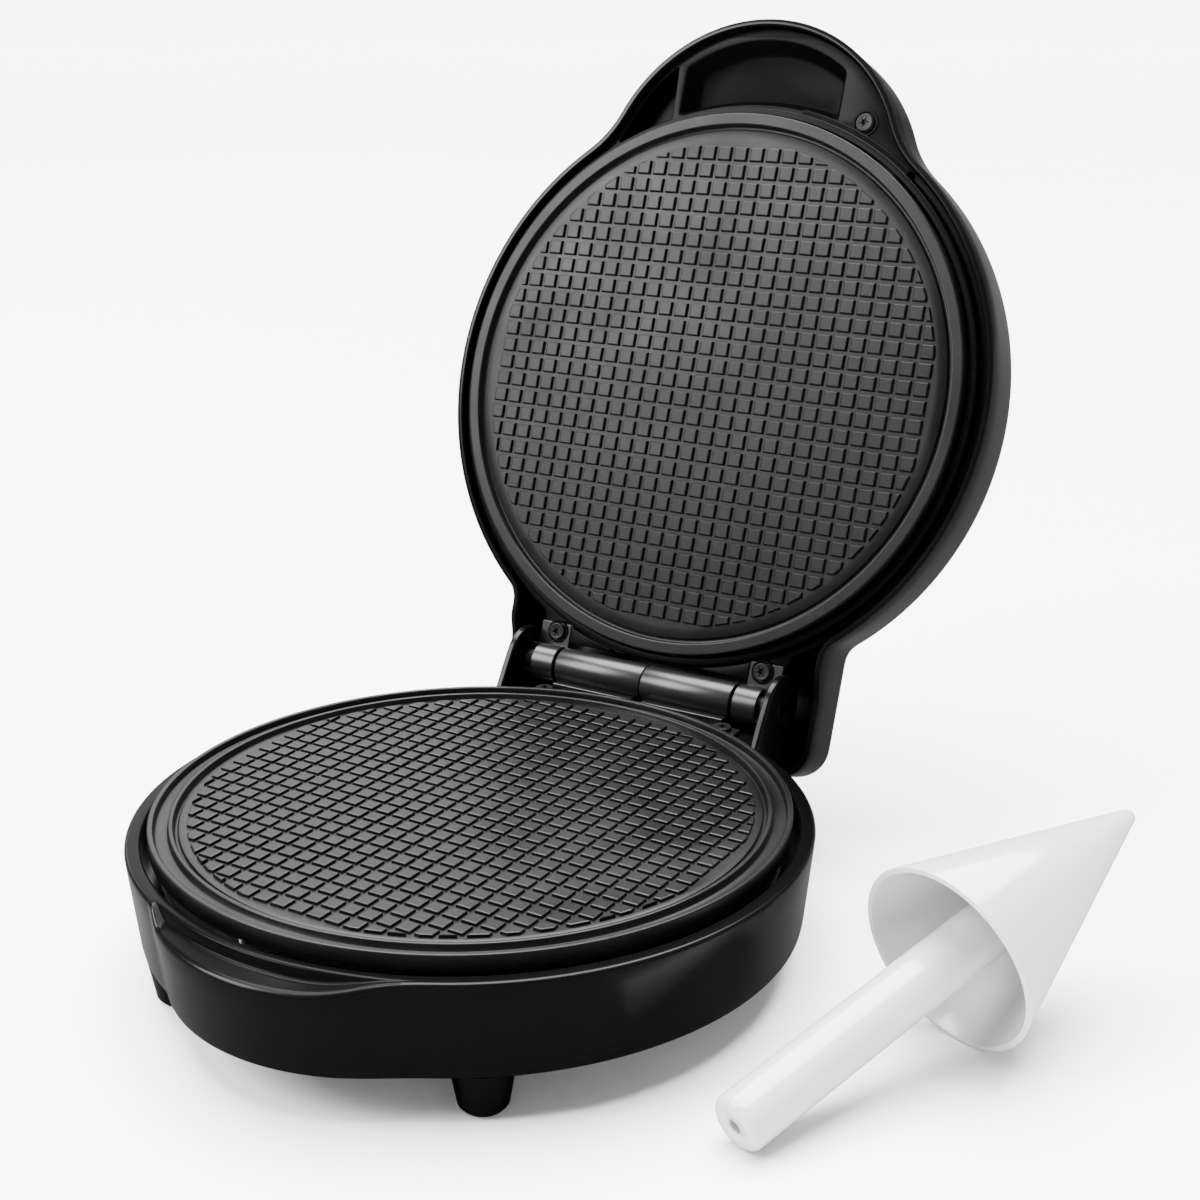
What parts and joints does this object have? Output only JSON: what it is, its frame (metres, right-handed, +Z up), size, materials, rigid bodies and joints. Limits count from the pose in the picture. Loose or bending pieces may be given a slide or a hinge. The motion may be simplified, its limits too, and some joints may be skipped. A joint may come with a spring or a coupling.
{
  "type": "waffle cone maker",
  "caption": "Electric waffle cone maker with two hinged gridded round plates in a low round body, stored open, with its white cone roller",
  "frame": {"origin": "middle of the whole set's box in plan, on the worktop under the feet", "axes": "+X along the hinge to the cone roller's side, +Y towards the hinge and the open lid, +Z up"},
  "size_m": [0.2968, 0.3444, 0.2891],
  "materials": {
    "shell_plastic": "gloss",
    "nonstick_coating": "satin",
    "foot_rubber": "matte",
    "zinc_steel": "satin",
    "black_screw": "satin",
    "thermostat_shell": "satin",
    "terminal_plastic": "matte",
    "roller_white": "gloss"
  },
  "bodies": {
    "base": {"base_shell": "shell_plastic", "bottom_cover": "shell_plastic", "feet": "shell_plastic", "foot_pads": "foot_rubber", "cover_screws": "zinc_steel", "cord_bushing": "shell_plastic", "lower_plate": "nonstick_coating", "lower_plate_screws": "zinc_steel", "lower_reflector": "zinc_steel", "lower_element": "zinc_steel", "thermostat": "thermostat_shell", "thermal_fuse": "thermostat_shell", "terminal_block": "terminal_plastic", "base_barrel_left": "shell_plastic", "base_barrel_right": "shell_plastic", "base_hinge_screws": "black_screw", "hinge_pin": "zinc_steel"},
    "lid": {"lid_knuckle_left": "shell_plastic", "lid_knuckle_right": "shell_plastic", "lid_hinge_screws": "black_screw", "lid_shell": "shell_plastic", "lid_liner": "shell_plastic", "grip_screw": "black_screw", "upper_plate": "nonstick_coating", "upper_plate_screws": "zinc_steel", "upper_reflector": "zinc_steel", "upper_element": "zinc_steel"},
    "cone_roller": {"roller_cone": "roller_white", "roller_handle": "roller_white"}
  },
  "joints": [
    {"name": "lid_hinge", "type": "hinge", "parent": "base", "child": "lid", "pos_m": [-0.03748, 0.05779, 0.054], "axis": [1, 0, 0], "range_deg": [0, 110]},
    {"name": "roller_lift", "type": "slide", "parent": "base", "child": "cone_roller", "axis": [0, 0, 1], "range_m": [0, 0.15]}
  ]
}
